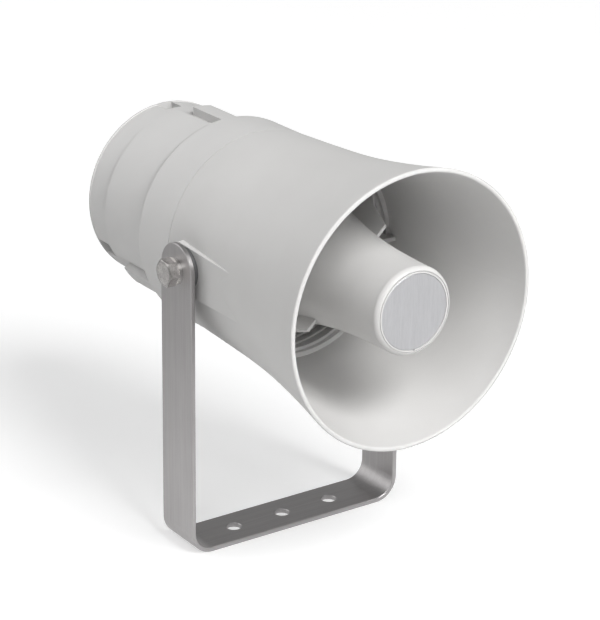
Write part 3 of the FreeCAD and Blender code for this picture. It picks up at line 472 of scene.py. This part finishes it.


# Every material, by name: its shared finish, tones, scales, and the bump's strength and depth.
# Where they aren't the usual ones it also has a place, metal, a gloss, or painted shade over the colour.

materialValues = {
    "hornGrey": {
        "finish": "moulded", "light": (0.611, 0.606, 0.598), "dark": (0.578, 0.572, 0.564),
        "set": {"Grain Scale": 1500.0, "Smooth": 0.54, "Matt": 0.64},
        "bump": (0.12, 0.0003), "gloss": 0.32},
    "innerGrey": {
        "finish": "moulded", "light": (0.600, 0.595, 0.587), "dark": (0.568, 0.562, 0.555),
        "set": {"Grain Scale": 1500.0, "Smooth": 0.48, "Matt": 0.58},
        "bump": (0.12, 0.0003), "gloss": 0.32},
    "rearGrey": {
        "finish": "moulded", "light": (0.597, 0.592, 0.585), "dark": (0.562, 0.557, 0.551),
        "set": {"Grain Scale": 1300.0, "Smooth": 0.54, "Matt": 0.65},
        "bump": (0.12, 0.0003), "gloss": 0.32},
    "brushedStrap": {
        "finish": "brushed", "place": alongStrap,
        "light": (0.400, 0.388, 0.388), "dark": (0.345, 0.334, 0.334),
        "set": {"Line Density": 2600.0, "Line Stretch": 0.010, "Smooth": 0.34, "Matt": 0.44},
        "bump": (0.10, 0.0002), "metal": True},
    "forgedBolt": {
        "finish": "speckled", "light": (0.66, 0.64, 0.625), "dark": (0.38, 0.365, 0.355),
        "set": {"Lump Scale": 900.0, "Smooth": 0.15, "Matt": 0.26},
        "bump": (0.06, 0.0002), "metal": True, "shade": boltEdgePaintedShade},
    "brightWasher": {
        "finish": "brushed", "place": ringedX,
        "light": (0.72, 0.71, 0.69), "dark": (0.50, 0.49, 0.48),
        "set": {"Line Density": 2200.0, "Smooth": 0.12, "Matt": 0.28},
        "bump": (0.10, 0.0002), "metal": True},
    "badgeMetal": {
        "finish": "brushed", "place": alongZ,
        "light": (0.595, 0.595, 0.61), "dark": (0.52, 0.52, 0.535),
        "set": {"Line Density": 5200.0, "Line Stretch": 0.04, "Smooth": 0.34, "Matt": 0.46},
        "bump": (0.10, 0.0002), "metal": True},
    # Painted shade: the nylon spacers' near-black tone stands in for the shadow between the strap and the pads
    "nylonPaintedShade": {
        "finish": "moulded", "light": (0.115, 0.116, 0.118), "dark": (0.085, 0.086, 0.088),
        "set": {"Grain Scale": 1800.0, "Smooth": 0.36, "Matt": 0.50}, "bump": (0.15, 0.0003)},
    "darkMoulding": {
        "finish": "moulded", "light": (0.045, 0.045, 0.048), "dark": (0.028, 0.028, 0.030),
        "set": {"Grain Scale": 1700.0, "Smooth": 0.38, "Matt": 0.55}, "bump": (0.15, 0.0003)},
    "creamMoulding": {
        "finish": "moulded", "light": (0.72, 0.68, 0.56), "dark": (0.65, 0.61, 0.50),
        "set": {"Grain Scale": 1700.0, "Smooth": 0.34, "Matt": 0.48}, "bump": (0.12, 0.0003)},
    "leadRed": {
        "finish": "moulded", "light": (0.42, 0.035, 0.028), "dark": (0.33, 0.025, 0.020),
        "set": {"Grain Scale": 2400.0, "Smooth": 0.26, "Matt": 0.40}, "bump": (0.08, 0.0002)},
    "turnedBrass": {
        "finish": "brushed", "place": ringedX,
        "light": (0.76, 0.56, 0.26), "dark": (0.58, 0.41, 0.18),
        "set": {"Line Density": 2600.0, "Smooth": 0.20, "Matt": 0.36},
        "bump": (0.15, 0.0002), "metal": True},
    "blackRubber": {
        "finish": "speckled", "light": (0.040, 0.040, 0.041), "dark": (0.018, 0.018, 0.019),
        "set": {"Lump Scale": 1200.0, "Smooth": 0.55, "Matt": 0.80}, "bump": (0.25, 0.0003)},
    "castMetal": {
        "finish": "speckled", "light": (0.60, 0.60, 0.61), "dark": (0.42, 0.42, 0.43),
        "set": {"Lump Scale": 700.0, "Smooth": 0.38, "Matt": 0.60},
        "bump": (0.40, 0.0003), "metal": True},
    "platedSteel": {
        "finish": "speckled", "light": (0.66, 0.67, 0.68), "dark": (0.50, 0.51, 0.54),
        "set": {"Lump Scale": 500.0, "Smooth": 0.20, "Matt": 0.38},
        "bump": (0.12, 0.0002), "metal": True},
    "firedFerrite": {
        "finish": "speckled", "light": (0.060, 0.060, 0.064), "dark": (0.030, 0.030, 0.032),
        "set": {"Lump Scale": 1500.0, "Smooth": 0.45, "Matt": 0.65}, "bump": (0.30, 0.0002)},
    "pressedDome": {
        "finish": "speckled", "light": (0.30, 0.155, 0.065), "dark": (0.19, 0.090, 0.036),
        "set": {"Lump Scale": 2200.0, "Smooth": 0.34, "Matt": 0.50}, "bump": (0.30, 0.0002)},
    "coilWire": {
        "finish": "layered", "place": alongY,
        "light": (0.72, 0.30, 0.12), "dark": (0.30, 0.10, 0.04),
        "set": {"Turns Per Metre": 5200.0, "Smooth": 0.22, "Matt": 0.42},
        "bump": (0.60, 0.0001), "metal": True},
    "coreSheets": {
        "finish": "layered", "place": alongY,
        "light": (0.24, 0.235, 0.23), "dark": (0.09, 0.088, 0.085),
        "set": {"Turns Per Metre": 2000.0, "Smooth": 0.36, "Matt": 0.62},
        "bump": (0.60, 0.0001), "metal": True},
    "windingTape": {
        "finish": "layered", "place": alongZ,
        "light": (0.74, 0.56, 0.13), "dark": (0.58, 0.42, 0.08),
        "set": {"Turns Per Metre": 90.0, "Smooth": 0.24, "Matt": 0.40}, "bump": (0.30, 0.0003)},
}

slotMaterials = {
    "grey_plastic": "hornGrey", "grey_plastic_inner": "innerGrey", "grey_plastic_rear": "rearGrey",
    "stainless_steel": "brushedStrap", "stainless_bolts": "forgedBolt", "badge_metal": "badgeMetal",
    "grey_nylon": "nylonPaintedShade", "dark_plastic": "darkMoulding", "cream_plastic": "creamMoulding",
    "lead_insulation": "leadRed", "brass": "turnedBrass", "black_rubber": "blackRubber",
    "cast_aluminium": "castMetal", "plated_steel": "platedSteel", "ferrite": "firedFerrite",
    "phenolic_dome": "pressedDome", "copper_coil": "coilWire", "laminated_core": "coreSheets",
    "winding_tape": "windingTape",
}

nodeMaterials = {"spring_washers": "brightWasher"}   # nodes that differ from their slot's material

usualGloss = 0.5


def makeMaterial(name, values):
    material, tree, shader = newMaterial(name)
    finish = tree.nodes.new("ShaderNodeGroup")
    finish.node_tree = finishGroups[values["finish"]]
    place = values.get("place", hornPlace)(tree)
    tree.links.new(place, finish.inputs["Place"])
    finish.inputs["Light Tone"].default_value = (*values["light"], 1)
    finish.inputs["Dark Tone"].default_value = (*values["dark"], 1)
    for title, value in values["set"].items():
        finish.inputs[title].default_value = value
    colour = finish.outputs["Color"]
    # A material's shade is painted shade, multiplied into its colour
    if "shade" in values:
        shade = values["shade"](tree)
        grey = joinVector(tree, shade, shade, shade)
        colour = mixColour(tree, 1.0, colour, grey, "MULTIPLY")
    tree.links.new(colour, shader.inputs["Base Color"])
    tree.links.new(finish.outputs["Roughness"], shader.inputs["Roughness"])
    shader.inputs["Metallic"].default_value = 1.0 if values.get("metal") else 0.0
    shader.inputs["Specular IOR Level"].default_value = values.get("gloss", usualGloss)
    strength, depth = values["bump"]
    bump = tree.nodes.new("ShaderNodeBump")
    bump.inputs["Strength"].default_value = strength
    bump.inputs["Distance"].default_value = depth
    tree.links.new(finish.outputs["Height"], bump.inputs["Height"])
    tree.links.new(bump.outputs["Normal"], shader.inputs["Normal"])
    return material


materials = {name: makeMaterial(name, values) for name, values in materialValues.items()}


def dressNodes():
    slots = {row["node"]: row["material_slot"] for row in frame["record"]["subparts"]}
    for nodeName, piece in nodes.items():
        material = materials[nodeMaterials.get(nodeName, slotMaterials[slots[nodeName]])]
        piece.data.materials.clear()
        piece.data.materials.append(material)


dressNodes()
print("materials made and given to every node")


# Pieces that ride on the horn beside the nodes

def ringFaces(rowCount, rayCount, bands):
    # Quads between each ring of points and the next; a band past the last ring goes back to the first.
    row, ray = np.meshgrid(np.arange(bands), np.arange(rayCount), indexing="ij")
    nextRow, nextRay = (row + 1) % rowCount, (ray + 1) % rayCount
    rows = np.stack([row, row, nextRow, nextRow], -1)
    rays = np.stack([ray, nextRay, nextRay, ray], -1)
    return (rows * rayCount + rays).reshape(-1, 4)


def addHornPiece(name, points, faces, slotName):
    mesh = bpy.data.meshes.new(name)
    mesh.from_pydata(points.reshape(-1, 3).tolist(), [], faces)
    mesh.materials.append(materials[slotMaterials[slotName]])
    piece = bpy.data.objects.new(name, mesh)
    scene.collection.objects.link(piece)
    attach(piece, "horn")


# The bell's two pads stand a little proud of its skin, round each spacer

pivotPads = {
    "faceOut": 0.0687,         # metres from the horn's axis
    "seatOut": 0.06695,        # just under the spacer's inner face
    "upperEdge": 0.01346,      # above the tilt axis, running down towards the mouth
    "upperSlope": 3.0,         # degrees
    "halfWidth": 0.01656,      # a hair outside the moulding's own pads
    "frontReach": 0.058,       # the face dips under the flare before this
    "edgeRound": 0.0005,
    "edgeSteps": 7,
    "spacerGap": 0.00015,
    "wallDepth": 0.0012,       # how far the walls go under the bell's skin
    "bellSkin": ((-0.090, 0.0754), (-0.050, 0.0699), (-0.014, 0.0675), (0.025, 0.06575)),   # y, radius
    "rays": 480,
}


def padOutline(along, upward, inset):
    # A ray from the tilt axis ends at the nearest of four limits: the sloping upper edge, the lower edge,
    # the front, and the half round at the rear. Each limit is drawn in by the inset.
    values = pivotPads
    slope = math.radians(values["upperSlope"])
    rise = upward * math.cos(slope) - along * math.sin(slope)
    limits = [
        (rise, values["upperEdge"] * math.cos(slope) - inset),
        (-upward, values["halfWidth"] - inset),
        (-along, values["frontReach"] - inset),
    ]
    ends = [distance / np.maximum(speed, 1e-6) for speed, distance in limits]
    ends.append(np.where(along >= 0, values["halfWidth"] - inset, np.inf))
    return np.minimum.reduce(ends)


def addPivotPad(name, side):
    # A closed ring of rows, each a radius and a distance out for every ray: the wall, a quarter round
    # edge, the face, the hole round the spacer, and back to the wall under the skin.
    values = pivotPads
    angle = np.linspace(0, 2 * np.pi, values["rays"], endpoint=False)
    along, upward = np.cos(angle), np.sin(angle)
    stations = np.array(values["bellSkin"])
    skin = np.poly1d(np.polyfit(stations[:, 0], stations[:, 1], 3))
    edge, face = values["edgeRound"], values["faceOut"]
    rim = padOutline(along, upward, 0.0)
    buried = np.sqrt((skin(rim * along) - values["wallDepth"]) ** 2 - (rim * upward) ** 2)
    low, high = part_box("pivot_spacers")
    hole = (high[1] - low[1]) / 2 + values["spacerGap"]
    rows = [(rim, np.minimum(buried, face - edge))]
    for turn in np.linspace(0, np.pi / 2, values["edgeSteps"]):
        inset, drop = edge * (1 - np.cos(turn)), edge * (1 - np.sin(turn))
        rows.append((padOutline(along, upward, inset), face - drop))
    rows += [(hole, face), (hole, values["seatOut"])]
    radius, out = (
        np.stack([np.broadcast_to(row[index], angle.shape) for row in rows]) for index in (0, 1))
    points = np.stack([side * out, radius * along, tiltAxisHeight + radius * upward], axis=-1)
    faces = ringFaces(len(rows), len(angle), len(rows))[:, ::side]
    addHornPiece(name, points, faces.tolist(), "grey_plastic")


for padName, side in (("leftPivotPad", -1), ("rightPivotPad", 1)):
    addPivotPad(padName, side)
print("pivot pads made")


# Push-in plugs close the screw wells in the tail's cover, so that each pocket has a back

wellPlugs = {
    "circle": 0.0515,                       # their distance from the horn's axis
    "turns": (92.0, 32.0, -88.0, -148.0),   # degrees from +X towards +Z
    "radius": 0.00405,
    "innerY": 0.1327,
    "outerY": 0.1337,
    "chamfer": 0.0003,
    "sides": 48,
}


def addWellPlug(name, turn):
    # Three rings of points along Y, the last drawn in by the chamfer, with a flat face at each end
    values = wellPlugs
    angle = np.linspace(0, 2 * np.pi, values["sides"], endpoint=False)
    wide, outer, chamfer = values["radius"], values["outerY"], values["chamfer"]
    radius = np.array([wide, wide, wide - chamfer])[:, None]
    depth = np.array([values["innerY"], outer - chamfer, outer])[:, None]
    centreX = values["circle"] * math.cos(math.radians(turn))
    centreZ = tiltAxisHeight + values["circle"] * math.sin(math.radians(turn))
    x, y, z = np.broadcast_arrays(
        centreX + radius * np.cos(angle), depth, centreZ + radius * np.sin(angle))
    count = len(angle)
    faces = ringFaces(3, count, 2)[:, ::-1].tolist()
    faces += [list(range(count)), list(range(3 * count - 1, 2 * count - 1, -1))]
    addHornPiece(name, np.stack([x, y, z], -1), faces, "grey_plastic_rear")


for index, turn in enumerate(wellPlugs["turns"]):
    addWellPlug("wellPlug%d" % (index + 1), turn)
print("well plugs made")
